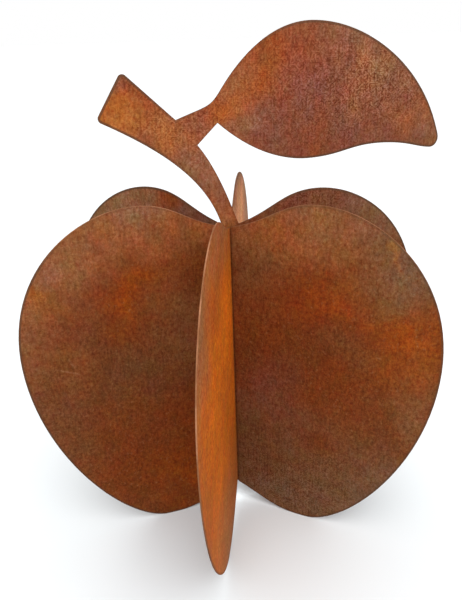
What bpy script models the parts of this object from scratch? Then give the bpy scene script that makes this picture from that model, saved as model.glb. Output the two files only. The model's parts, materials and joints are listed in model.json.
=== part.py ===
"""Weathering steel apple: a garden sculpture built up from flat, cut steel plates.

One whole plate carries the apple's outline with its stem and leaf. Four half plates of the same outline
stand on its two faces, welded to it along the upright centre line, and splay out to the front and the back.
Metres, +Z up, leaf to +X. The origin is at the middle of the plan on the ground.
"""

from math import cos, pi, radians, sin, tan
from typing import NamedTuple

import bpy
from mathutils import Vector

# Driving sizes, in metres.
RADIUS = 0.350  # reach of the apple from its upright centre line
PLATE = 0.002  # thickness of every plate
GAP = 0.0003  # air left between two plates that are welded together

# Plan angles of the half plates, in degrees round the centre line from the leaf's side.
HALF_PLATES = {
    "front_plate": -112.5,
    "front_right_plate": -38.8,
    "back_plate": 68.1,
    "back_left_plate": 135.4,
}

# The apple's outline, as shares of RADIUS from the centre line and from the ground.
TOP_DIP_HEIGHT = 1.641
TOP_DIP_SLOPE = 12.2  # degrees that the top rises by as it leaves the dip
SHOULDER_REACH = 0.422
SHOULDER_HEIGHT = 1.783
WIDEST_HEIGHT = 1.078
FOOT_REACH = 0.382
FOOT_HALF_FLAT = 0.020  # half the length of the flat that each foot stands on
ARCH_HEIGHT = 0.127
ARCH_SLOPE = 19.8  # degrees that the underside rises by as it reaches the centre line

# The stem and leaf, as shares of RADIUS in the same plane.
STEM_FOOT_LEFT = 0.033  # the stem's foot covers the dip from here
STEM_FOOT_RIGHT = 0.046  # to here
STEM_CUT_LOW = (-0.533, 2.142)  # corners of the stem's square-cut end
STEM_CUT_HIGH = (-0.416, 2.323)
STEM_CORNER_ROUNDING = 0.020
STEM_END_HEADING = 152.3  # degrees that the stem heads in as it reaches its cut end
UPPER_FORK = (-0.213, 2.127)  # notches above and below the leaf's stalk
LOWER_FORK = (-0.127, 2.019)
STALK_TO_LEAF = (-0.021, 2.231)
LEAF_CREST = (0.380, 2.486)
LEAF_SHOULDER = (1.029, 2.011)
LEAF_REACH = 1.042
LEAF_TIP_HEIGHT = 1.967
LEAF_TIP_UNDERSIDE = (1.003, 1.927)
LEAF_HOLLOW = (0.722, 1.966)
LEAF_BELLY = (0.380, 1.924)
LEAF_ROOT = (-0.036, 2.104)

STEPS = 28  # straight facets to each stretch of a curved outline
BISECTIONS = 30

RUST = (0.27, 0.095, 0.028, 1.0)
RUST_ROUGHNESS = 0.85
RUST_METALLIC = 0.15


class Knot(NamedTuple):
    """A point of an outline, with the ends of its two curve handles."""

    behind: Vector
    at: Vector
    ahead: Vector


def heading(degrees):
    """The unit vector that points this way in the plate's plane."""
    return Vector((cos(radians(degrees)), sin(radians(degrees))))


def smooth(place, degrees, behind, ahead):
    """A knot that the outline runs through without a corner; behind and ahead are its handles' lengths."""
    at = Vector(place)
    way = heading(degrees)
    return Knot(at - way * behind, at, at + way * ahead)


def corner(place, arrives=0.0, behind=0.0, leaves=0.0, ahead=0.0):
    """A knot where the outline turns sharply; a handle of no length leaves that side straight."""
    at = Vector(place)
    return Knot(at - heading(arrives) * behind, at, at + heading(leaves) * ahead)


def rounded_corner(place, before, after, radius):
    """Two knots that round off the corner between the points before and after it."""
    at = Vector(place)
    way_in = (at - Vector(before)).normalized()
    way_out = (Vector(after) - at).normalized()
    turn = abs(way_in.angle_signed(way_out))
    setback = radius * tan(turn / 2)
    handle = radius * 4 / 3 * tan(turn / 4)
    start = at - way_in * setback
    end = at + way_out * setback
    return [Knot(start, start, start + way_in * handle), Knot(end - way_out * handle, end, end)]


def split(first, second, share):
    """The two knots of the stretch from first to second, kept only from this share of its way on."""
    a = first.at.lerp(first.ahead, share)
    b = first.ahead.lerp(second.behind, share)
    c = second.behind.lerp(second.at, share)
    ab = a.lerp(b, share)
    bc = b.lerp(c, share)
    at = ab.lerp(bc, share)
    return Knot(at, at, bc), Knot(c, second.at, second.ahead)


def kept_beyond(first, second, reach):
    """The stretch from first to second, kept only where it is further than reach from the centre line."""
    low, high = 0.0, 1.0
    for _ in range(BISECTIONS):
        share = (low + high) / 2
        if split(first, second, share)[0].at.x < reach:
            low = share
        else:
            high = share
    return split(first, second, high)


def half_apple(top_reach, bottom_reach):
    """The apple's outline on the +X side, from the dip at the top down to the arch at the bottom."""
    top_dip = smooth((0.0, TOP_DIP_HEIGHT), TOP_DIP_SLOPE, 0.0, 0.217)
    shoulder = smooth((SHOULDER_REACH, SHOULDER_HEIGHT), 0.0, 0.178, 0.230)
    widest = smooth((1.0, WIDEST_HEIGHT), -90.0, 0.496, 0.554)
    foot_outside = smooth((FOOT_REACH + FOOT_HALF_FLAT, 0.0), 180.0, 0.216, 0.0)
    foot_inside = smooth((FOOT_REACH - FOOT_HALF_FLAT, 0.0), 180.0, 0.0, 0.154)
    arch = smooth((0.0, ARCH_HEIGHT), 180.0 - ARCH_SLOPE, 0.140, 0.0)
    top_edge, shoulder = kept_beyond(top_dip, shoulder, top_reach)
    arch_edge, foot_inside = (turned_round(knot) for knot in
                              kept_beyond(turned_round(arch), turned_round(foot_inside), bottom_reach))
    return [top_edge, shoulder, widest, foot_outside, foot_inside, arch_edge]


def turned_round(knot):
    """The same knot for an outline that runs the other way."""
    return Knot(knot.ahead, knot.at, knot.behind)


def mirrored(knots):
    """The outline's other half, still running the same way round."""
    return [Knot(*(Vector((-point.x, point.y)) for point in turned_round(knot))) for knot in reversed(knots)]


def stem_and_leaf(left_foot, right_foot):
    """The outline from the stem's left foot, round the cut end and the leaf, to its right foot."""
    cut_low = Vector(STEM_CUT_LOW)
    stem_end = heading(STEM_END_HEADING)
    low_start, low_end = rounded_corner(cut_low, cut_low - stem_end, STEM_CUT_HIGH, STEM_CORNER_ROUNDING)
    return [
        corner(left_foot, leaves=105.0, ahead=0.209),
        Knot(low_start.at - stem_end * 0.298, low_start.at, low_start.ahead),
        low_end,
        *rounded_corner(STEM_CUT_HIGH, STEM_CUT_LOW, UPPER_FORK, STEM_CORNER_ROUNDING),
        corner(UPPER_FORK, leaves=20.0, ahead=0.142),
        smooth(STALK_TO_LEAF, 55.0, 0.079, 0.170),
        smooth(LEAF_CREST, 0.0, 0.170, 0.222),
        smooth(LEAF_SHOULDER, -68.5, 0.340, 0.015),
        smooth((LEAF_REACH, LEAF_TIP_HEIGHT), -90.0, 0.015, 0.022),
        smooth(LEAF_TIP_UNDERSIDE, 177.0, 0.022, 0.072),
        smooth(LEAF_HOLLOW, 180.0, 0.154, 0.142),
        smooth(LEAF_BELLY, 180.0, 0.159, 0.127),
        corner(LEAF_ROOT, arrives=138.0, behind=0.190),
        corner(LOWER_FORK, leaves=-52.0, ahead=0.156),
        corner(right_foot, arrives=-66.0, behind=0.050),
    ]


def whole_apple():
    """The outline of the whole plate: the apple with its stem and leaf."""
    right = half_apple(STEM_FOOT_RIGHT, 0.0)
    left = mirrored(half_apple(STEM_FOOT_LEFT, 0.0))
    crown = stem_and_leaf(left[-1].at, right[0].at)
    first = Knot(crown[-1].behind, right[0].at, right[0].ahead)
    last = Knot(left[-1].behind, left[-1].at, crown[0].ahead)
    arch = Knot(right[-1].behind, right[-1].at, left[0].ahead)
    return [first, *right[1:-1], arch, *left[1:-1], last, *crown[1:-1]]


def edge_reach(degrees):
    """How far from the centre line a half plate at this angle starts, to clear the whole plate's face."""
    lean = abs(sin(radians(degrees)))
    spread = abs(cos(radians(degrees)))
    return (PLATE / 2 + GAP + PLATE / 2 * spread) / lean


def steel(name):
    """The part's rusted, matt steel."""
    material = bpy.data.materials.new(name)
    material.use_nodes = True
    shader = material.node_tree.nodes["Principled BSDF"]
    shader.inputs["Base Color"].default_value = RUST
    shader.inputs["Roughness"].default_value = RUST_ROUGHNESS
    shader.inputs["Metallic"].default_value = RUST_METALLIC
    return material


def plate(name, knots, degrees, centre, collection):
    """A flat plate of this outline, stood upright on the centre line and turned to its plan angle."""
    curve = bpy.data.curves.new(name, "CURVE")
    curve.dimensions = "2D"
    curve.fill_mode = "BOTH"
    curve.extrude = PLATE / 2
    curve.resolution_u = STEPS
    curve.render_resolution_u = 0
    spline = curve.splines.new("BEZIER")
    spline.bezier_points.add(len(knots) - 1)
    spline.use_cyclic_u = True
    for point, knot in zip(spline.bezier_points, knots):
        point.handle_left_type = point.handle_right_type = "FREE"
        point.handle_left = (knot.behind * RADIUS).to_3d()
        point.co = (knot.at * RADIUS).to_3d()
        point.handle_right = (knot.ahead * RADIUS).to_3d()
    curve.materials.append(steel(name + "_steel"))
    standing = bpy.data.objects.new(name, curve)
    standing.rotation_euler = (pi / 2, 0.0, radians(degrees))
    standing.location = centre
    collection.objects.link(standing)


def plan_centre():
    """Where the centre line stands, for the origin to be at the middle of the plan."""
    front = radians(HALF_PLATES["front_plate"])
    back = radians(HALF_PLATES["back_plate"])
    front_reach = -RADIUS * sin(front) + PLATE / 2 * abs(cos(front))
    back_reach = RADIUS * sin(back) + PLATE / 2 * abs(cos(back))
    return Vector(((1.0 - LEAF_REACH) * RADIUS / 2, (front_reach - back_reach) / 2, 0.0))


def main():
    for old in list(bpy.data.objects):
        bpy.data.objects.remove(old)
    collection = bpy.data.collections.new("weathering_steel_apple")
    bpy.context.scene.collection.children.link(collection)
    centre = plan_centre()
    plate("whole_plate", whole_apple(), 0.0, centre, collection)
    for name, degrees in HALF_PLATES.items():
        reach = edge_reach(degrees) / RADIUS
        plate(name, half_apple(reach, reach), degrees, centre, collection)


main()
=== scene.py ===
"""The looks of the weathering steel apple: rusted plates with softened cut edges, and the studio."""

import json
from math import atan2, cos, pi, radians, sin

import bpy
from bpy.props import FloatProperty, FloatVectorProperty, PointerProperty
from mathutils import Euler, Matrix, Vector

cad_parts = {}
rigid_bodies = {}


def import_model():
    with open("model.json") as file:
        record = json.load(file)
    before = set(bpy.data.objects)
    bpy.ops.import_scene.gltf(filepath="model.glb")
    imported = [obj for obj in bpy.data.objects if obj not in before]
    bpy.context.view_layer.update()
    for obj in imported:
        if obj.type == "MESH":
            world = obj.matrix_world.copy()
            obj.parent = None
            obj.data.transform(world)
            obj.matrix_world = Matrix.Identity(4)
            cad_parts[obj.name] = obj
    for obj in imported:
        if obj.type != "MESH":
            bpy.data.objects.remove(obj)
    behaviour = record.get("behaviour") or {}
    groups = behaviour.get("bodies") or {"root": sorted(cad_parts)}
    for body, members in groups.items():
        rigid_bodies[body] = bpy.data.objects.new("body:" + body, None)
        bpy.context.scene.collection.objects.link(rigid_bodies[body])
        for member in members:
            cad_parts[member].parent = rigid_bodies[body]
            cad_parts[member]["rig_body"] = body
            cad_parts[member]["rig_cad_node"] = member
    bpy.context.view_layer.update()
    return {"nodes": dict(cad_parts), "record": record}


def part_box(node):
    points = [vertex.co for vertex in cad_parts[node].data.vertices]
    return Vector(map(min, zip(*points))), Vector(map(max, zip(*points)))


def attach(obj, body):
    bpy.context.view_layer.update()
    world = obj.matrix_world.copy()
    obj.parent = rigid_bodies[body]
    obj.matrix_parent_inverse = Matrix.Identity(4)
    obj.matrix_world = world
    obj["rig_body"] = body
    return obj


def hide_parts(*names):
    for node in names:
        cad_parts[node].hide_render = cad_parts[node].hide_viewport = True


bl_info = {
    "name": "Weathering Steel Apple",
    "version": (1, 0, 0),
    "blender": (4, 5, 0),
    "location": "View3D > Sidebar > Apple",
    "description": "Rusts and stages an apple sculpture of cut steel plates",
    "category": "Object",
}

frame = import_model()
FEET = {mount["name"]: Vector(mount["pos_m"]) for mount in frame["record"]["mounts"]}
CENTRE = (FEET["foot_left"] + FEET["foot_right"]) / 2
REACH = CENTRE.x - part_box("whole_plate")[0].x
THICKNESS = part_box("whole_plate")[1].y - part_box("whole_plate")[0].y
DISPLAY_GAMMA = 2.2

# Which foot stands under each plate, from which the plate's plan angle is worked out.
FOOT_OF_PLATE = {
    "whole_plate": "foot_right",
    "front_plate": "foot_front",
    "front_right_plate": "foot_front_right",
    "back_plate": "foot_back",
    "back_left_plate": "foot_back_left",
}


def plan_angle(node):
    """The angle in plan at which a plate leaves the centre line."""
    away = FEET[FOOT_OF_PLATE[node]] - CENTRE
    return atan2(away.y, away.x)


class Signal:
    """A value or colour on its way through a material, with arithmetic that adds the nodes for it."""

    def __init__(self, graph, socket):
        self.graph = graph
        self.socket = socket

    def _maths(self, operation, *values):
        return self.graph.node("ShaderNodeMath", {"operation": operation}, values)

    def __add__(self, other):
        return self._maths("ADD", self, other)

    __radd__ = __add__

    def __sub__(self, other):
        return self._maths("SUBTRACT", self, other)

    def __rsub__(self, other):
        return self._maths("SUBTRACT", other, self)

    def __mul__(self, other):
        return self._maths("MULTIPLY", self, other)

    __rmul__ = __mul__

    def power(self, exponent):
        return self._maths("POWER", self, exponent)

    def size(self):
        """How far the value is from 0, either way."""
        return self._maths("ABSOLUTE", self)

    def rise(self, low, high):
        """0 below low and 1 above high, with a soft step between; falls instead where low is above high."""
        settings = {"interpolation_type": "SMOOTHSTEP", "clamp": True}
        if low < high:
            return self.graph.node("ShaderNodeMapRange", settings, [self, low, high, 0.0, 1.0])
        return self.graph.node("ShaderNodeMapRange", settings, [self, high, low, 1.0, 0.0])


class Graph:
    """The node tree of one material."""

    def __init__(self, material):
        material.use_nodes = True
        self.tree = material.node_tree
        self.shader = self.tree.nodes["Principled BSDF"]

    def node(self, kind, settings=(), values=(), output=0):
        """A new node with its settings and its inputs' values or links; gives the output as a signal."""
        made = self.tree.nodes.new(kind)
        for name, value in dict(settings).items():
            setattr(made, name, value)
        places = values.items() if isinstance(values, dict) else enumerate(values)
        for place, value in places:
            self.feed(made.inputs[place], value)
        return Signal(self, made.outputs[output])

    def feed(self, socket, value):
        """Links a signal to the socket, or sets the socket to a plain value."""
        if isinstance(value, Signal):
            self.tree.links.new(value.socket, socket)
        else:
            socket.default_value = value

    def blend(self, share, under, over):
        """The colour under, covered by the colour over where share is 1."""
        # A Mix node's sockets share their names, so the ones for colours are given by number.
        return self.node("ShaderNodeMix", {"data_type": "RGBA"}, {0: share, 6: under, 7: over}, 2)

    def shade(self, colour, amount):
        """The colour made lighter or darker by a factor."""
        return self.tint(colour, amount, amount, amount)

    def tint(self, colour, red, green, blue):
        """The colour with its three channels each made lighter or darker by a factor."""
        factors = self.node("ShaderNodeCombineXYZ", values=[red, green, blue])
        return self.node("ShaderNodeVectorMath", {"operation": "MULTIPLY"}, [colour, factors])

    def stretch(self, place, x, y, z):
        """The point with its three parts scaled, which squeezes the patterns read there."""
        return self.node("ShaderNodeVectorMath", {"operation": "MULTIPLY"}, [place, (x, y, z)])

    def noise(self, place, per_metre, detail=2.0, roughness=0.5, distortion=0.0):
        """A cloudy value round 0.5, with this many clouds to the metre."""
        values = {"Vector": place, "Scale": per_metre, "Detail": detail}
        values.update({"Roughness": roughness, "Distortion": distortion})
        return self.node("ShaderNodeTexNoise", values=values)


def linear(red, green, blue):
    """A colour given in display values from 0 to 255, as the shader's linear one."""
    return tuple((channel / 255) ** DISPLAY_GAMMA for channel in (red, green, blue)) + (1.0,)


class AppleRustSettings(bpy.types.PropertyGroup):
    """The rust's colours and its grain."""

    brown: FloatVectorProperty(
        name="Brown", description="The rust's main colour",
        subtype="COLOR", size=4, default=linear(107, 57, 25))
    dark: FloatVectorProperty(
        name="Dark", description="Old, dense rust",
        subtype="COLOR", size=4, default=linear(88, 46, 20))
    red: FloatVectorProperty(
        name="Red", description="Deep red rust",
        subtype="COLOR", size=4, default=linear(127, 57, 20))
    orange: FloatVectorProperty(
        name="Orange", description="Young rust",
        subtype="COLOR", size=4, default=linear(144, 68, 12))
    # Also the front plate's main colour on its seen side, where its brightness is partly painted light.
    bright: FloatVectorProperty(
        name="Bright", description="Fresh, dusty orange rust",
        subtype="COLOR", size=4, default=linear(188, 94, 16))
    ochre: FloatVectorProperty(
        name="Ochre", description="Golden, dusty rust",
        subtype="COLOR", size=4, default=linear(166, 99, 41))
    clay: FloatVectorProperty(
        name="Clay", description="Thin, warm rust",
        subtype="COLOR", size=4, default=linear(142, 82, 46))
    tan: FloatVectorProperty(
        name="Tan", description="Thin, weathered rust",
        subtype="COLOR", size=4, default=linear(131, 84, 53))
    sand: FloatVectorProperty(
        name="Sand", description="Dry, greyish rust",
        subtype="COLOR", size=4, default=linear(134, 95, 70))
    umber: FloatVectorProperty(
        name="Umber", description="Greyish brown rust",
        subtype="COLOR", size=4, default=linear(104, 69, 44))
    olive: FloatVectorProperty(
        name="Olive", description="Greenish brown rust",
        subtype="COLOR", size=4, default=linear(120, 79, 48))
    maroon: FloatVectorProperty(
        name="Maroon", description="Dense, warm rust",
        subtype="COLOR", size=4, default=linear(110, 51, 16))
    fawn: FloatVectorProperty(
        name="Fawn", description="Dry rust under a grey bloom",
        subtype="COLOR", size=4, default=linear(128, 86, 61))
    taupe: FloatVectorProperty(
        name="Taupe", description="Greyish rust near the ground",
        subtype="COLOR", size=4, default=linear(104, 74, 54))
    plum: FloatVectorProperty(
        name="Plum", description="Purplish mill scale",
        subtype="COLOR", size=4, default=linear(114, 65, 50))
    rose: FloatVectorProperty(
        name="Rose", description="Reddish rust with a bloom",
        subtype="COLOR", size=4, default=linear(123, 72, 54))
    amber: FloatVectorProperty(
        name="Amber", description="Fresh rust at its brightest",
        subtype="COLOR", size=4, default=linear(206, 103, 20))
    # Also the back plate's main colour, where its paleness is partly painted light.
    pale: FloatVectorProperty(
        name="Pale", description="Thin, pale rust",
        subtype="COLOR", size=4, default=linear(209, 138, 90))
    # Pale colour of the scratches, and also of the painted highlights on the cut edges.
    wear_and_highlight: FloatVectorProperty(
        name="Worn", description="Steel that shows through",
        subtype="COLOR", size=4, default=linear(166, 114, 82))
    roughness: FloatProperty(name="Roughness", description="Of the dry rust", default=0.9, min=0, max=1)
    gloss: FloatProperty(name="Gloss", description="Of the dry rust", default=0.12, min=0, max=1)
    grain: FloatProperty(
        name="Grain", description="Width of the rust's fine grain", default=0.0046,
        subtype="DISTANCE", unit="LENGTH")
    crust: FloatProperty(
        name="Crust", description="Spacing of the fine, winding ridges of the crust", default=0.0056,
        subtype="DISTANCE", unit="LENGTH")
    relief: FloatProperty(
        name="Relief", description="Height of the rust's crust", default=0.0006,
        subtype="DISTANCE", unit="LENGTH")


class ApplePlateSettings(bpy.types.PropertyGroup):
    """How the plates' cut edges are finished."""

    edge_rounding: FloatProperty(
        name="Edge rounding", description="Radius that rust and deburring leave on a cut edge",
        default=0.0004, subtype="DISTANCE", unit="LENGTH")
    rim_width: FloatProperty(
        name="Rim width", description="Width of the dark line that cutting leaves along the outline",
        default=0.0030, subtype="DISTANCE", unit="LENGTH")


class AppleStudioSettings(bpy.types.PropertyGroup):
    """Floor, lights and camera."""

    floor: FloatVectorProperty(
        name="Floor", description="The floor's pale colour",
        subtype="COLOR", size=4, default=(0.775, 0.81, 0.825, 1.0))
    overhead: FloatProperty(
        name="Overhead light", description="Strength of the broad light overhead", default=1.22)
    behind: FloatProperty(
        name="Light from behind", description="Strength of the broad light from behind", default=0.3)
    fill: FloatProperty(
        name="Side lights", description="Power of each of the two side lights", default=6.5, unit="POWER")
    air: FloatProperty(name="Air", description="Strength of the light from all round", default=1.0)
    viewpoint: FloatProperty(
        name="Viewpoint", description="Plan angle from the apple to the camera", default=radians(-104.76),
        subtype="ANGLE", unit="ROTATION")
    distance: FloatProperty(
        name="Distance", description="From the centre line to the camera, in plan", default=2.516 * REACH,
        subtype="DISTANCE", unit="LENGTH")
    height: FloatProperty(
        name="Height", description="Of the camera above the floor", default=2.489 * REACH,
        subtype="DISTANCE", unit="LENGTH")
    lens: FloatProperty(name="Lens", description="Focal length in millimetres", default=34.54)
    tilt: FloatProperty(
        name="Tilt", description="How far the camera looks down", default=radians(25.88),
        subtype="ANGLE", unit="ROTATION")
    aside: FloatProperty(
        name="Aside", description="How far the camera looks to the right of the centre line",
        default=radians(1.17), subtype="ANGLE", unit="ROTATION")
    roll: FloatProperty(
        name="Roll", description="How far the camera leans over", default=radians(-1.36),
        subtype="ANGLE", unit="ROTATION")
    shift: FloatProperty(
        name="Shift", description="Sideways shift of the picture, as a share of its longer side",
        default=-0.0185)


# The side of each plate that is seen from the front: 1 for the one that its depth grows towards, or -1.
SEEN_SIDE = {
    "whole_plate": -1.0,
    "front_plate": 1.0,
    "front_right_plate": -1.0,
    "back_plate": -1.0,
    "back_left_plate": 1.0,
}

# Each plate's main rust, and the blotches of other rust on its seen side: their colour, their place outwards
# and up, half width and half height, all as shares of the apple's reach, and their strength. Where marked, a
# colour is partly painted light or painted shade.
MAIN_RUST = {
    "whole_plate": "brown",
    "front_plate": "bright",
    # Rust colour and partly painted light: the front plate's seen side is brighter for the light that falls
    # on it from the right.
    "front_right_plate": "brown",
    # Rust colour and partly painted light: the back plate's seen side is paler for the light that falls on
    # its top.
    "back_plate": "clay",
    "back_left_plate": "sand",
}
BLOTCHES = {
    "whole_plate": [
        ("clay", -0.40, 1.68, 0.52, 0.15, 0.9),
        ("sand", -0.42, 1.80, 0.18, 0.08, 0.7),
        ("tan", -0.73, 1.58, 0.24, 0.20, 0.9),
        ("clay", -0.62, 1.56, 0.14, 0.10, 0.6),
        ("clay", -0.92, 1.42, 0.14, 0.16, 0.8),
        ("tan", -0.96, 1.24, 0.13, 0.22, 0.6),
        ("fawn", -0.98, 0.96, 0.06, 0.12, 0.3),
        ("orange", -0.89, 1.44, 0.04, 0.08, 0.45),
        ("fawn", -0.84, 1.53, 0.06, 0.05, 0.6),
        ("red", -0.72, 1.34, 0.13, 0.11, 0.5),
        ("plum", -0.72, 1.26, 0.12, 0.14, 0.3),
        ("red", -0.44, 1.38, 0.18, 0.20, 0.9),
        ("red", -0.34, 1.47, 0.14, 0.10, 0.6),
        ("orange", -0.45, 1.34, 0.07, 0.13, 0.6),
        ("orange", -0.37, 1.50, 0.08, 0.06, 0.5),
        ("olive", -0.25, 1.22, 0.14, 0.28, 0.45),
        # Painted shade: darker beside the front plate, where that plate shades the left half.
        ("maroon", -0.14, 1.44, 0.12, 0.16, 0.6),
        ("clay", -0.08, 1.60, 0.07, 0.06, 0.7),
        ("umber", -0.54, 1.00, 0.18, 0.14, 0.5),
        ("dark", -0.64, 0.98, 0.10, 0.14, 0.35),
        ("clay", -0.80, 1.08, 0.12, 0.16, 0.3),
        ("clay", -0.82, 0.34, 0.08, 0.12, 0.5),
        ("umber", -0.88, 0.66, 0.15, 0.32, 0.4),
        ("red", -0.24, 0.60, 0.15, 0.22, 0.4),
        ("maroon", -0.48, 0.42, 0.36, 0.34, 0.8),
        ("orange", -0.26, 0.28, 0.20, 0.24, 0.7),
        ("maroon", -0.20, 0.48, 0.14, 0.26, 0.6),
        ("clay", -0.20, 2.08, 0.32, 0.20, 0.9),
        ("orange", -0.40, 2.21, 0.13, 0.13, 0.9),
        ("bright", -0.42, 2.22, 0.05, 0.05, 0.4),
        ("ochre", -0.43, 2.15, 0.09, 0.07, 0.9),
        ("red", -0.34, 2.25, 0.06, 0.06, 0.6),
        ("red", -0.33, 2.16, 0.03, 0.06, 0.6),
        ("taupe", -0.45, 2.30, 0.12, 0.06, 0.8),
        ("ochre", -0.25, 2.09, 0.12, 0.07, 0.7),
        ("fawn", -0.10, 1.92, 0.13, 0.15, 0.9),
        ("rose", 0.46, 2.20, 0.84, 0.42, 0.9),
        ("clay", 0.04, 2.28, 0.12, 0.16, 0.7),
        ("orange", -0.02, 2.20, 0.06, 0.05, 0.5),
        ("orange", 0.21, 2.28, 0.15, 0.20, 0.8),
        ("red", 0.36, 2.33, 0.22, 0.12, 0.6),
        ("plum", 0.20, 2.06, 0.22, 0.10, 0.8),
        ("fawn", 0.06, 2.08, 0.08, 0.04, 0.5),
        ("plum", 0.36, 2.17, 0.16, 0.13, 0.9),
        ("plum", 0.52, 1.98, 0.40, 0.10, 0.5),
        ("red", 0.40, 2.00, 0.08, 0.10, 0.6),
        ("fawn", 0.68, 2.34, 0.22, 0.15, 0.8),
        ("ochre", 0.60, 2.34, 0.05, 0.06, 0.2),
        ("fawn", 0.46, 2.46, 0.20, 0.08, 0.5),
        ("rose", 0.33, 2.31, 0.14, 0.12, 0.5),
        ("clay", 0.62, 2.20, 0.10, 0.10, 0.5),
        ("clay", 0.90, 2.10, 0.10, 0.10, 0.5),
        ("fawn", 1.02, 1.98, 0.12, 0.12, 0.7),
        ("rose", 0.34, 1.76, 0.44, 0.14, 0.6),
        ("taupe", 0.78, 1.64, 0.26, 0.18, 0.9),
        ("fawn", 0.78, 1.64, 0.24, 0.16, 0.4),
    ],
    "front_plate": [
        ("clay", 0.40, 1.76, 0.60, 0.28, 0.9),
        ("tan", 0.86, 1.54, 0.22, 0.26, 0.9),
        ("orange", 0.52, 1.48, 0.22, 0.12, 0.5),
        ("clay", 0.40, 0.16, 0.50, 0.36, 0.9),
        ("ochre", 0.40, 0.24, 0.45, 0.26, 0.4),
        ("sand", 0.40, 0.00, 0.40, 0.10, 0.6),
        ("orange", 0.92, 0.85, 0.16, 0.40, 0.35),
        ("tan", 1.00, 1.36, 0.10, 0.30, 0.5),
        ("tan", 0.98, 0.52, 0.14, 0.34, 0.6),
        ("orange", 0.78, 0.76, 0.14, 0.26, 0.3),
        ("olive", 0.14, 1.66, 0.16, 0.14, 0.6),
        ("amber", 0.12, 1.28, 0.26, 0.26, 0.8),
        ("orange", 0.10, 0.56, 0.14, 0.16, 0.4),
        ("amber", 0.14, 0.76, 0.14, 0.36, 0.3),
    ],
    "front_right_plate": [
        ("tan", 0.46, 1.73, 0.46, 0.15, 0.9),
        ("clay", 0.22, 1.60, 0.28, 0.12, 0.8),
        ("orange", 0.19, 1.62, 0.10, 0.06, 0.5),
        ("olive", 0.08, 1.46, 0.18, 0.22, 0.5),
        ("clay", 0.46, 1.54, 0.26, 0.08, 0.5),
        ("red", 0.48, 1.35, 0.22, 0.13, 0.8),
        ("orange", 0.52, 1.37, 0.12, 0.07, 0.4),
        ("red", 0.26, 1.24, 0.14, 0.18, 0.3),
        ("red", 0.06, 1.20, 0.10, 0.18, 0.2),
        ("orange", 0.83, 1.18, 0.16, 0.22, 0.75),
        ("olive", 0.78, 1.50, 0.24, 0.18, 0.9),
        ("taupe", 0.70, 1.62, 0.12, 0.10, 0.3),
        ("orange", 0.97, 1.36, 0.06, 0.10, 0.3),
        ("orange", 0.72, 1.29, 0.12, 0.05, 0.3),
        ("taupe", 0.84, 1.56, 0.14, 0.14, 0.8),
        ("ochre", 0.77, 1.58, 0.02, 0.08, 0.35),
        ("umber", 0.58, 1.12, 0.15, 0.12, 0.4),
        ("maroon", 0.40, 1.02, 0.44, 0.36, 0.4),
        ("maroon", 0.56, 0.84, 0.14, 0.16, 0.3),
        ("plum", 0.22, 0.76, 0.18, 0.22, 0.6),
        ("dark", 0.30, 0.92, 0.14, 0.16, 0.25),
        ("olive", 0.93, 0.76, 0.11, 0.28, 0.6),
        ("umber", 0.38, 0.22, 0.72, 0.44, 0.9),
        ("umber", 0.06, 0.56, 0.12, 0.24, 0.5),
        ("maroon", 0.42, 0.52, 0.07, 0.10, 0.7),
        ("taupe", 0.36, 0.12, 0.40, 0.14, 0.7),
        ("taupe", 0.80, 0.28, 0.16, 0.22, 0.9),
    ],
    "back_plate": [
        # Partly painted light: the pale top, where the back plate is seen lit.
        ("pale", 0.45, 1.80, 1.20, 0.45, 1.6),
        ("tan", 0.45, 1.81, 0.60, 0.14, 0.9),
        ("sand", 0.86, 1.60, 0.22, 0.40, 1.0),
        ("clay", 0.20, 1.70, 0.12, 0.12, 0.8),
        ("taupe", 0.42, 1.81, 0.28, 0.07, 0.8),
        ("olive", 0.96, 1.58, 0.10, 0.18, 0.6),
    ],
    "back_left_plate": [
        ("olive", 0.82, 1.64, 0.20, 0.20, 0.8),
        ("clay", 0.46, 1.72, 0.20, 0.12, 0.4),
        ("red", 0.33, 1.74, 0.11, 0.10, 0.8),
        ("orange", 0.33, 1.73, 0.08, 0.08, 0.5),
        ("plum", 0.12, 1.62, 0.16, 0.12, 0.8),
    ],
}

# Where the seen side's crust is heaped up into coarser, winding ridges, or worn smoother where the strength
# is below 0. Places are given as in BLOTCHES.
CRUSTS = {
    "whole_plate": [
        (0.45, 2.20, 0.75, 0.40, 0.85),
        (0.76, 2.24, 0.28, 0.26, 0.25),
        (-0.62, 1.55, 0.42, 0.34, -0.4),
        (-0.36, 2.15, 0.30, 0.22, 0.5),
        (-0.43, 2.15, 0.08, 0.07, -1.0),
        (0.35, 1.74, 0.40, 0.12, 0.7),
    ],
    "front_plate": [],
    "front_right_plate": [(0.35, 0.15, 0.55, 0.45, 0.8)],
    "back_plate": [],
    "back_left_plate": [(0.50, 1.60, 0.60, 0.30, 0.3)],
}

# How strongly the cutter's heat has dulled the faces along each plate's outline.
HEAT_RIMS = {
    "whole_plate": 0.6,
    "front_plate": 0.1,
    "front_right_plate": 0.4,
    "back_plate": 0.7,
    "back_left_plate": 0.8,
}

# Faint, pale scratches on the seen side: place and half size as in BLOTCHES, and lean in degrees.
SCRATCHES = {
    "whole_plate": [(-0.80, 1.02, 0.050, 0.006, 25), (-0.78, 1.06, 0.007, 0.025, -25)],
    "front_plate": [],
    "front_right_plate": [],
    "back_plate": [],
    "back_left_plate": [(0.572, 1.71, 0.0025, 0.045, -16), (0.553, 1.74, 0.002, 0.020, -20)],
}

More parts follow.
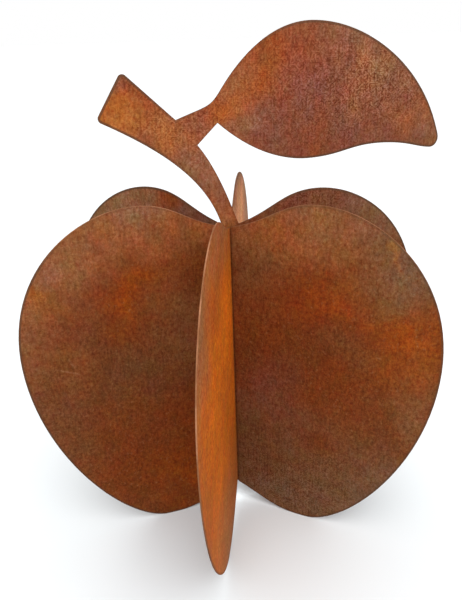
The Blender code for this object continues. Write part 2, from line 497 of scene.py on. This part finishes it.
# Where a cut edge is painted pale as a highlight, where light from above or the front catches it. Places are
# given as in BLOTCHES.
PAINTED_EDGE_HIGHLIGHTS = {
    "whole_plate": [(-0.54, 1.75, 0.36, 0.16, 0.8)],
    "front_plate": [(0.70, 1.38, 0.60, 0.50, 0.9)],
    "front_right_plate": [(0.45, 1.72, 0.55, 0.20, 0.5)],
    "back_plate": [(0.40, 1.70, 0.60, 0.30, 0.4)],
    "back_left_plate": [],
}

# Where each pattern of the rust is read, in metres along its space, so that none repeats another. All are
# read equally far up.
READ_AT = {
    "red": 0.0,
    "tan": 3.0,
    "plum": 6.0,
    "mottle": 12.0,
    "warmth": 18.0,
    "dashes": 21.0,
    "bloom": 24.0,
    "windings": 27.0,
    "grain": 30.0,
    "flecks": 36.0,
}
READ_UP = 5.0

# How many clouds a pattern has to the metre, then its detail, roughness and distortion.
PATTERNS = {
    "red": (9.0, 5.0, 0.65, 0.2),
    "tan": (7.0, 5.0, 0.65, 0.2),
    "plum": (11.0, 5.0, 0.65, 0.2),
    "mottle": (38.0, 3.0, 0.6),
    "warmth": (34.0, 3.0, 0.75),
    "bloom": (34.0, 4.0, 0.75),
    "flecks": (190.0, 1.0),
}
DARK_CLOUDS = (6.0, 4.0, 0.55, 0.3)
STREAKS = (260.0, 2.0, 0.6)
BROAD_WEAR = (16.0, 3.0, 0.6)
FINE_WEAR = (500.0, 2.0, 0.6)
GRAIN_DETAIL = (1.0, 0.5)
DASH_DETAIL = (2.0, 0.9)
CLOUD_COLOURS = ("red", "tan", "plum")

# How many tears to the metre the outlines of blotches have, and how far they reach.
BROAD_TEARS = (9.0, 0.12)
FINE_TEARS = (90.0, 0.016)
TEAR_DETAIL = 5.0

# How a pattern's space is scaled before it is read.
SIDE_SPREAD = 140.0  # through the thin plate, for each side to get patterns of its own
GRAIN_SPREAD = 0.8  # upwards, which makes the grain a little taller than wide
STREAK_SPREAD = 0.25

# What a pattern adds to the red, green and blue of the rust under it, as shares of them.
WARM_SHIFT = (0.4, -0.6, -0.5)
PIT_SHIFT = (-0.1, -0.3, -0.35)
BLUE_SHIFT = 1.4

# How strongly the layers of the rust show.
MOTTLING = 0.55
STREAKINESS = 0.7
FLECK_SHARE = 0.4
SCRATCH_SHARE = 0.25
DASH_RELIEF = 5.7
THREAD_RELIEF = 0.4
CRUST_DUST = 0.25
GRAIN_DUST = 0.2
FACE_RELIEF = 0.6
EDGE_RELIEF = 0.5
EDGE_GLOSS = 0.2

SIDE_SEAM = 0.1  # share of the thickness, each way from its middle, in which the two sides' rusts mix
SPOT_FADE = 1.6  # half sizes from a spot's middle at which it has faded out
HIGHLIGHT_CORE = 0.7  # half sizes from its middle to which a painted edge highlight is at its palest
THREAD_WIDTH = 0.10  # as a share of a noise's range
HEAT_STARTS, HEAT_FULL = 0.05, 0.40  # shares of the apple's reach from the centre line

# How the plates are shaped and shaded.
MERGE_DISTANCE = 1e-5
FLAT_ANGLE = radians(0.2)  # faces that meet at less are one
SHARP_ANGLE = radians(50)  # edges that turn by more are rounded
SMOOTH_ANGLE = radians(25)
ROUNDING_STEPS = 2
BROAD_FACE = 0.99  # a broad face's normal runs at least this much through the plate
FACE_SLOT, EDGE_SLOT, RIM_SLOT = range(3)  # in the order in which the materials are given

# The studio, in metres. Each light has its plan angle and its height angle.
FLOOR_SIZE = 60.0
FLOOR_ROUGHNESS = 0.7
FLOOR_GLOSS = 0.1
SUNS = {"overhead": (radians(-95), radians(60)), "behind": (radians(110), radians(45))}
SUN_SPREAD = radians(40)
SOFTBOXES = {"left_side": (radians(-135), radians(60)), "right_side": (radians(-40), radians(35))}
SOFTBOX_SIZE = 1.6
SOFTBOX_DISTANCE = 2.4
WHITE = (1.0, 1.0, 1.0, 1.0)
SENSOR_WIDTH = 36.0  # in millimetres


def in_plate(graph, node):
    """The shaded point as its plate sees it: outwards from the centre line, through the plate, and up."""
    place = graph.node("ShaderNodeTexCoord", output="Object")
    return graph.node("ShaderNodeMapping", {"vector_type": "TEXTURE"},
                      {"Vector": place, "Location": CENTRE, "Rotation": (0.0, 0.0, plan_angle(node))})


def cover(graph, place, spot, core=0.0, lean=0.0):
    """1 at a spot's middle, and to core half sizes from it, then less and less down to 0 well outside it.

    The spot is its place outwards and up, its half width and its half height, as shares of the apple's reach,
    and it is turned by lean.
    """
    out, up, half_width, half_height = spot
    from_middle = graph.node("ShaderNodeMapping", {"vector_type": "TEXTURE"}, {
        "Vector": place, "Location": (out * REACH, 0.0, up * REACH), "Rotation": (0.0, lean, 0.0),
        "Scale": (half_width * REACH, 1.0, half_height * REACH)})
    half_sizes = graph.node("ShaderNodeVectorMath", {"operation": "LENGTH"}, [from_middle], "Value")
    return half_sizes.rise(SPOT_FADE, core)


def ragged(graph, place, per_metre, reach):
    """The point moved about by a noise, for patterns with ragged outlines."""
    values = {"Vector": place, "Scale": per_metre, "Detail": TEAR_DETAIL}
    push = graph.node("ShaderNodeTexNoise", values=values, output="Color")
    push = graph.node("ShaderNodeVectorMath", {"operation": "SUBTRACT"}, [push, (0.5, 0.5, 0.5)])
    return graph.node("ShaderNodeVectorMath", {"operation": "MULTIPLY_ADD"},
                      [push, (reach, 0.0, reach), place])


def elsewhere(graph, place, pattern):
    """The point moved along its space to where this pattern is read."""
    return graph.node("ShaderNodeVectorMath", {"operation": "ADD"}, [place, (READ_AT[pattern], 0.0, READ_UP)])


def threads(graph, place, width):
    """1 along fine, winding lines and 0 between them."""
    return (graph.noise(place, 1.0 / width, 0.0) - 0.5).size().rise(THREAD_WIDTH, 0.0)


def off_centre(graph, place):
    """0 at the centre line, where the plates meet, and 1 well away from it."""
    out = graph.node("ShaderNodeSeparateXYZ", values=[place], output="X")
    return out.size().rise(HEAT_STARTS * REACH, HEAT_FULL * REACH)


def painted_highlight_share(graph, place, node):
    """1 where the plate's cut edge has its painted highlight, otherwise 0."""
    wear_and_highlight = 0.0
    flat = graph.stretch(place, 1.0, 0.0, 1.0)
    for *spot, strength in PAINTED_EDGE_HIGHLIGHTS[node]:
        wear_and_highlight = cover(graph, flat, spot, HIGHLIGHT_CORE) * strength + wear_and_highlight
    return wear_and_highlight


class FaceRust:
    """The rust on a plate's broad faces, laid on in layers: its colour, its grain and its crust's relief."""

    def __init__(self, graph, node, settings):
        self.graph = graph
        self.node = node
        self.settings = settings
        place = in_plate(graph, node)
        depth = graph.node("ShaderNodeSeparateXYZ", values=[place], output="Y")
        seam = SIDE_SEAM * THICKNESS
        self.seen = (depth * SEEN_SIDE[node]).rise(-seam, seam)
        self.flat = graph.stretch(place, 1.0, 0.0, 1.0)
        self.torn = ragged(graph, ragged(graph, self.flat, *BROAD_TEARS), *FINE_TEARS)
        self.sided = graph.stretch(place, 1.0, SIDE_SPREAD, 1.0)
        self.upright = graph.stretch(self.sided, 1.0, 1.0, GRAIN_SPREAD)
        self.grain = graph.noise(elsewhere(graph, self.upright, "grain"), 1.0 / settings.grain, *GRAIN_DETAIL)
        self.mottle = self.pattern(self.sided, "mottle")
        self.heaped = self.heaps()
        self.crust = self.ridges()
        self.colour = self.clouds()
        for layer in (self.blotches, self.bloom, self.flecks, self.scratches, self.dust):
            self.colour = layer(self.colour)

    def pattern(self, place, name):
        """One of the patterns above, read at this place."""
        return self.graph.noise(elsewhere(self.graph, place, name), *PATTERNS[name])

    def by_side(self, unseen, seen):
        """An amount for the unseen side and one for the seen side."""
        return unseen + (seen - unseen) * self.seen

    def clouds(self):
        """The plate's main rust under broad clouds of others, which are fainter on the seen side."""
        main = getattr(self.settings, MAIN_RUST[self.node])
        # The seen side takes the full main colour. For the front and back plates this is partly painted
        # light.
        colour = self.graph.blend(self.by_side(0.35, 1.0), self.settings.brown, main)
        dark = self.graph.noise(self.sided, *DARK_CLOUDS).rise(0.35, 0.70)
        colour = self.graph.blend(dark * self.by_side(0.6, 0.2), colour, self.settings.dark)
        for name in CLOUD_COLOURS:
            share = (self.pattern(self.sided, name) + 0.12 * (self.grain - 0.5)).rise(0.50, 0.68)
            colour = self.graph.blend(share * self.by_side(0.75, 0.15), colour, getattr(self.settings, name))
        return colour

    def blotches(self, colour):
        """The seen side's soft blotches, mottled and with ragged outlines."""
        for name, *spot, strength in BLOTCHES[self.node]:
            share = cover(self.graph, self.torn, spot) * (0.55 + 0.9 * self.mottle)
            colour = self.graph.blend(share * self.seen * strength, colour, getattr(self.settings, name))
        return colour

    def bloom(self, colour):
        """Patches of warmer or greyer rust, and light and dark streaks."""
        warmth = self.pattern(self.upright, "warmth") - 0.5
        bloom = self.pattern(self.upright, "bloom") - 0.5
        red, green, blue = (1.0 + shift * warmth for shift in WARM_SHIFT)
        colour = self.graph.tint(colour, red, green, blue + BLUE_SHIFT * bloom)
        streaks = self.graph.noise(self.graph.stretch(self.sided, 1.0, 1.0, STREAK_SPREAD), *STREAKS)
        return self.graph.shade(colour, MOTTLING * (self.mottle - 0.5) + STREAKINESS * (streaks - 0.5) + 1.0)

    def flecks(self, colour):
        """Hazy flecks of thin rust, and darker pits."""
        flecks = self.pattern(self.upright, "flecks")
        colour = self.graph.blend(FLECK_SHARE * flecks.rise(0.62, 0.78), colour, self.settings.tan)
        pits = flecks.rise(0.38, 0.24)
        return self.graph.tint(colour, *(1.0 + shift * pits for shift in PIT_SHIFT))

    def scratches(self, colour):
        """The seen side's faint scratches."""
        for *spot, lean in SCRATCHES[self.node]:
            share = cover(self.graph, self.flat, spot, lean=radians(lean))
            colour = self.graph.blend(SCRATCH_SHARE * share * self.seen, colour, self.settings.wear_and_highlight)
        return colour

    def heaps(self):
        """Above 0 where the crust is heaped up, and below 0 where it is worn smoother."""
        heaped = 0.0
        for *spot, strength in CRUSTS[self.node]:
            heaped = cover(self.graph, self.torn, spot) * self.seen * strength + heaped
        return heaped

    def ridges(self):
        """The crust's relief round 0: short dashes, or winding ridges where it is heaped up."""
        graph, width = self.graph, self.settings.crust
        dashes = graph.noise(elsewhere(graph, self.upright, "dashes"), 1.0 / width, *DASH_DETAIL) - 0.5
        drawn = DASH_RELIEF * dashes + THREAD_RELIEF * threads(graph, self.upright, width)
        windings = elsewhere(graph, self.sided, "windings")
        wound = threads(graph, self.sided, width) - threads(graph, windings, width)
        return drawn * (1.0 - self.heaped) + wound * self.heaped

    def dust(self, colour):
        """Pale dust on the crust's ridges, and a deeper colour between them."""
        relief = CRUST_DUST * self.crust + GRAIN_DUST * (self.grain - 0.5)
        relief = relief * (1.0 + self.heaped) + 0.975
        return self.graph.tint(colour, relief, relief.power(1.7), relief.power(2.4))


def finish_surface(graph, colour, roughness, gloss):
    """Gives the material its colour, its roughness and its gloss."""
    graph.feed(graph.shader.inputs["Base Color"], colour)
    graph.feed(graph.shader.inputs["Roughness"], roughness)
    graph.shader.inputs["Specular IOR Level"].default_value = gloss


def emboss(graph, strength, distance, height):
    """Gives the material a fine relief, too small for geometry."""
    bump = graph.node("ShaderNodeBump", values={"Strength": strength, "Distance": distance, "Height": height})
    graph.feed(graph.shader.inputs["Normal"], bump)


def rusted_face(node, settings):
    """Dry rust on a plate's two broad faces."""
    material = bpy.data.materials.new(node + "_rust")
    graph = Graph(material)
    rust = FaceRust(graph, node, settings)
    finish_surface(graph, rust.colour, settings.roughness - 0.1 * rust.grain, settings.gloss)
    emboss(graph, FACE_RELIEF, settings.relief, rust.grain + 0.3 * rust.crust)
    return material


def heat_rim(node, settings):
    """The narrow, darker line that the cutter's heat leaves on the faces, along their outline."""
    material = bpy.data.materials.new(node + "_heat_rim")
    graph = Graph(material)
    rust = FaceRust(graph, node, settings)
    place = in_plate(graph, node)
    # No dark rim where the cut edge has its painted highlight.
    burnt = off_centre(graph, place) * (1.0 - painted_highlight_share(graph, place, node))
    colour = graph.blend(burnt * (0.6 + 0.8 * rust.grain) * HEAT_RIMS[node], rust.colour, settings.taupe)
    colour = graph.shade(colour, 0.95 - 0.23 * burnt)
    finish_surface(graph, colour, settings.roughness - 0.1 * rust.grain, settings.gloss)
    return material


def cut_edge(node, settings):
    """The plate's narrow cut edge: dark rust, painted a pale tan as a highlight where light catches it."""
    material = bpy.data.materials.new(node + "_cut_edge")
    graph = Graph(material)
    place = in_plate(graph, node)
    broad = graph.noise(place, *BROAD_WEAR)
    fine = graph.noise(place, *FINE_WEAR)
    colour = graph.blend(broad.rise(0.35, 0.65) * off_centre(graph, place), settings.dark, settings.umber)
    # The painted highlight: a pale tan where light catches the cut edge.
    wear_and_highlight = graph.blend(broad.rise(0.4, 0.6), settings.wear_and_highlight, settings.tan)
    colour = graph.shade(graph.blend(painted_highlight_share(graph, place, node), colour, wear_and_highlight), 0.75 + 0.5 * fine)
    finish_surface(graph, colour, settings.roughness - 0.2 * fine, EDGE_GLOSS)
    emboss(graph, EDGE_RELIEF, settings.relief / 2, fine)
    return material


def broad_faces(piece, node):
    """The numbers of the faces on a plate's two broad sides."""
    angle = plan_angle(node)
    through = Vector((-sin(angle), cos(angle), 0.0))
    return {face.index for face in piece.data.polygons if abs(face.normal.dot(through)) > BROAD_FACE}


class APPLE_OT_dress_plates(bpy.types.Operator):
    """Gives every plate rounded cut edges, and rust on its faces and edges"""

    bl_idname = "apple.dress_plates"
    bl_label = "Dress Plates"

    def execute(self, context):
        for node in FOOT_OF_PLATE:
            piece = self.copy_plate(context, node)
            self.round_edges(context.scene.apple_plate)
            self.set_off_rim(piece, node, context.scene.apple_plate)
            self.rust(piece, node, context.scene.apple_rust)
            bpy.ops.object.shade_smooth_by_angle(angle=SMOOTH_ANGLE)
            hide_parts(node)
            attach(piece, "root")
        return {"FINISHED"}

    def copy_plate(self, context, node):
        """A piece of its own with the shape of the part's plate, selected alone."""
        plate = frame["nodes"][node]
        bpy.ops.object.select_all(action="DESELECT")
        plate.select_set(True)
        context.view_layer.objects.active = plate
        bpy.ops.object.duplicate()
        piece = context.active_object
        piece.name = piece.data.name = node + "_rusted"
        # A copy still says that it is the part's own node, which this piece isn't.
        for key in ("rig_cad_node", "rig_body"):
            del piece[key]
        piece.parent = None
        return piece

    def round_edges(self, settings):
        """Makes the plate's loose triangles one skin and rounds its sharp edges."""
        bpy.ops.object.mode_set(mode="EDIT")
        bpy.ops.mesh.select_all(action="SELECT")
        bpy.ops.mesh.remove_doubles(threshold=MERGE_DISTANCE)
        bpy.ops.mesh.dissolve_limited(angle_limit=FLAT_ANGLE)
        bpy.ops.mesh.select_all(action="DESELECT")
        bpy.ops.mesh.select_mode(type="EDGE")
        bpy.ops.mesh.edges_select_sharp(sharpness=SHARP_ANGLE)
        bpy.ops.mesh.bevel(offset=settings.edge_rounding, segments=ROUNDING_STEPS, affect="EDGES")
        bpy.ops.object.mode_set(mode="OBJECT")

    def set_off_rim(self, piece, node, settings):
        """Insets the two broad faces from their outline, and leaves them selected."""
        bpy.ops.object.mode_set(mode="EDIT")
        bpy.ops.mesh.select_mode(type="FACE")
        bpy.ops.mesh.select_all(action="DESELECT")
        bpy.ops.object.mode_set(mode="OBJECT")
        for number in broad_faces(piece, node):
            piece.data.polygons[number].select = True
        bpy.ops.object.mode_set(mode="EDIT")
        bpy.ops.mesh.inset(thickness=settings.rim_width)
        bpy.ops.object.mode_set(mode="OBJECT")

    def rust(self, piece, node, settings):
        """Gives the broad faces, the cut edge and the rim between them their materials."""
        piece.data.materials.clear()
        for finish in (rusted_face, cut_edge, heat_rim):
            piece.data.materials.append(finish(node, settings))
        broad = broad_faces(piece, node)
        for face in piece.data.polygons:
            if face.index not in broad:
                face.material_index = EDGE_SLOT
            elif not face.select:
                face.material_index = RIM_SLOT
        if {face.material_index for face in piece.data.polygons} != {FACE_SLOT, EDGE_SLOT, RIM_SLOT}:
            raise RuntimeError(f"{node} came out without its broad faces, its cut edge or its rim")


class APPLE_OT_set_stage(bpy.types.Operator):
    """Sets the floor, the lights and the camera"""

    bl_idname = "apple.set_stage"
    bl_label = "Set Stage"

    def execute(self, context):
        settings = context.scene.apple_studio
        self.lay_floor(context, settings)
        self.hang_lights(context, settings)
        self.place_camera(context, settings)
        context.scene.view_settings.view_transform = "Standard"
        return {"FINISHED"}

    def lay_floor(self, context, settings):
        bpy.ops.mesh.primitive_plane_add(size=FLOOR_SIZE)
        floor = context.active_object
        floor.name = "floor"
        material = bpy.data.materials.new("floor")
        finish_surface(Graph(material), settings.floor, FLOOR_ROUGHNESS, FLOOR_GLOSS)
        floor.data.materials.append(material)

    def hang_lights(self, context, settings):
        """Sets the light from all round, the two broad lights and the two side lights."""
        world = bpy.data.worlds.new("studio")
        world.use_nodes = True
        world.node_tree.nodes["Background"].inputs["Strength"].default_value = settings.air
        world.node_tree.nodes["Background"].inputs["Color"].default_value = WHITE
        context.scene.world = world
        for name, (plan, rise) in SUNS.items():
            self.hang_sun(context, name, getattr(settings, name), plan, rise)
        for name, (plan, rise) in SOFTBOXES.items():
            self.hang_softbox(context, name, settings.fill, plan, rise)

    def hang_sun(self, context, name, strength, plan, rise):
        """A broad, far light that reaches the whole floor evenly."""
        lamp = bpy.data.lights.new(name, "SUN")
        lamp.energy = strength
        lamp.angle = SUN_SPREAD
        light = bpy.data.objects.new(name, lamp)
        light.rotation_euler = (pi / 2 - rise, 0.0, plan + pi / 2)
        context.scene.collection.objects.link(light)

    def hang_softbox(self, context, name, power, plan, rise):
        """A square light that points at the apple's middle."""
        lamp = bpy.data.lights.new(name, "AREA")
        lamp.energy = power
        lamp.size = SOFTBOX_SIZE
        box = bpy.data.objects.new(name, lamp)
        way = Vector((cos(plan) * cos(rise), sin(plan) * cos(rise), sin(rise)))
        box.location = CENTRE + Vector((0.0, 0.0, REACH)) + way * SOFTBOX_DISTANCE
        box.rotation_euler = way.to_track_quat("Z", "Y").to_euler()
        context.scene.collection.objects.link(box)

    def place_camera(self, context, settings):
        camera = bpy.data.objects.new("camera", bpy.data.cameras.new("camera"))
        context.scene.collection.objects.link(camera)
        way = Vector((cos(settings.viewpoint), sin(settings.viewpoint), 0.0))
        camera.location = CENTRE + way * settings.distance + Vector((0.0, 0.0, settings.height))
        heading = settings.viewpoint + pi - settings.aside
        turn = Euler((pi / 2 - settings.tilt, 0.0, heading - pi / 2)).to_matrix()
        camera.rotation_euler = (turn @ Matrix.Rotation(settings.roll, 3, "Z")).to_euler()
        camera.data.lens = settings.lens
        camera.data.sensor_width = SENSOR_WIDTH
        camera.data.shift_x = settings.shift
        context.scene.camera = camera


class APPLE_PT_panel(bpy.types.Panel):
    """Lists the steps in the sidebar"""

    bl_idname = "APPLE_PT_panel"
    bl_label = "Weathering Steel Apple"
    bl_space_type = "VIEW_3D"
    bl_region_type = "UI"
    bl_category = "Apple"

    def draw(self, context):
        for group in (context.scene.apple_rust, context.scene.apple_plate, context.scene.apple_studio):
            for name in group.__annotations__:
                self.layout.prop(group, name)
        for operator in (APPLE_OT_dress_plates, APPLE_OT_set_stage):
            self.layout.operator(operator.bl_idname)


CLASSES = (
    AppleRustSettings,
    ApplePlateSettings,
    AppleStudioSettings,
    APPLE_OT_dress_plates,
    APPLE_OT_set_stage,
    APPLE_PT_panel,
)


def register():
    for item in CLASSES:
        bpy.utils.register_class(item)
    bpy.types.Scene.apple_rust = PointerProperty(type=AppleRustSettings)
    bpy.types.Scene.apple_plate = PointerProperty(type=ApplePlateSettings)
    bpy.types.Scene.apple_studio = PointerProperty(type=AppleStudioSettings)


def unregister():
    del bpy.types.Scene.apple_studio
    del bpy.types.Scene.apple_plate
    del bpy.types.Scene.apple_rust
    for item in reversed(CLASSES):
        bpy.utils.unregister_class(item)


def main():
    register()
    bpy.ops.apple.dress_plates()
    bpy.ops.apple.set_stage()
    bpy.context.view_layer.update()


if __name__ == "__main__":
    main()
